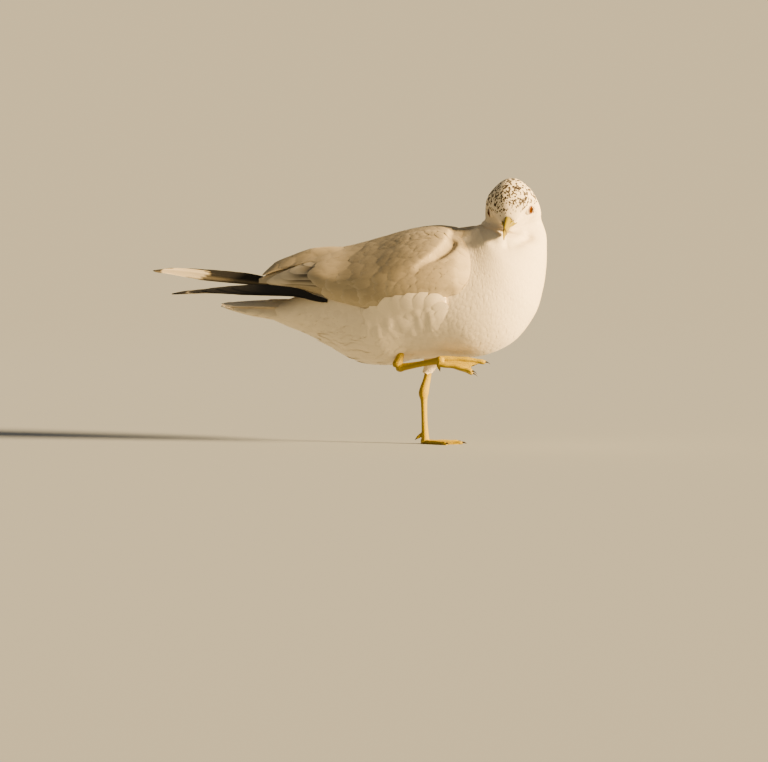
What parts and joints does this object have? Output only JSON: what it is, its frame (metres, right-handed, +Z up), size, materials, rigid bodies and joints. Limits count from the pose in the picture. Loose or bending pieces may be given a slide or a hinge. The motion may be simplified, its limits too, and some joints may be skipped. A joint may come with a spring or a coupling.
{
  "type": "gull",
  "caption": "Adult gull in winter plumage, standing on its left leg with the right leg lifted and its head turned to the right",
  "frame": {"origin": "centre of the standing left foot's sole, on the ground", "axes": "+X forward towards the breast, +Y to the bird's left, +Z up"},
  "size_m": [0.4147, 0.1356, 0.2738],
  "materials": {
    "white_plumage": "soft white feathers",
    "grey_plumage": "mid-grey feathers",
    "black_plumage": "black wing-tip feathers with white mirrors",
    "leg_skin": "scaly yellow skin",
    "bill_horn": "smooth yellow horn",
    "eye": "dark brown, wet"
  },
  "bodies": {
    "root": {"trunk": "white_plumage", "neck": "white_plumage", "head": "white_plumage", "tail": "white_plumage", "thigh_left": "white_plumage", "wing_right_arm": "grey_plumage", "wing_right_tertials": "grey_plumage", "wing_left_arm": "grey_plumage", "wing_left_tertials": "grey_plumage", "wing_right_primaries": "black_plumage", "wing_left_primaries": "black_plumage", "ankle_left": "leg_skin", "tarsus_left": "leg_skin", "foot_left": "leg_skin", "hind_toe_left": "leg_skin", "ankle_right": "leg_skin", "tarsus_right": "leg_skin", "toe_right_outer": "leg_skin", "toe_right_middle": "leg_skin", "toe_right_inner": "leg_skin", "web_right_outer": "leg_skin", "web_right_inner": "leg_skin", "hind_toe_right": "leg_skin", "bill_upper": "bill_horn", "bill_lower": "bill_horn", "eye_left": "eye", "eye_right": "eye"}
  },
  "joints": []
}
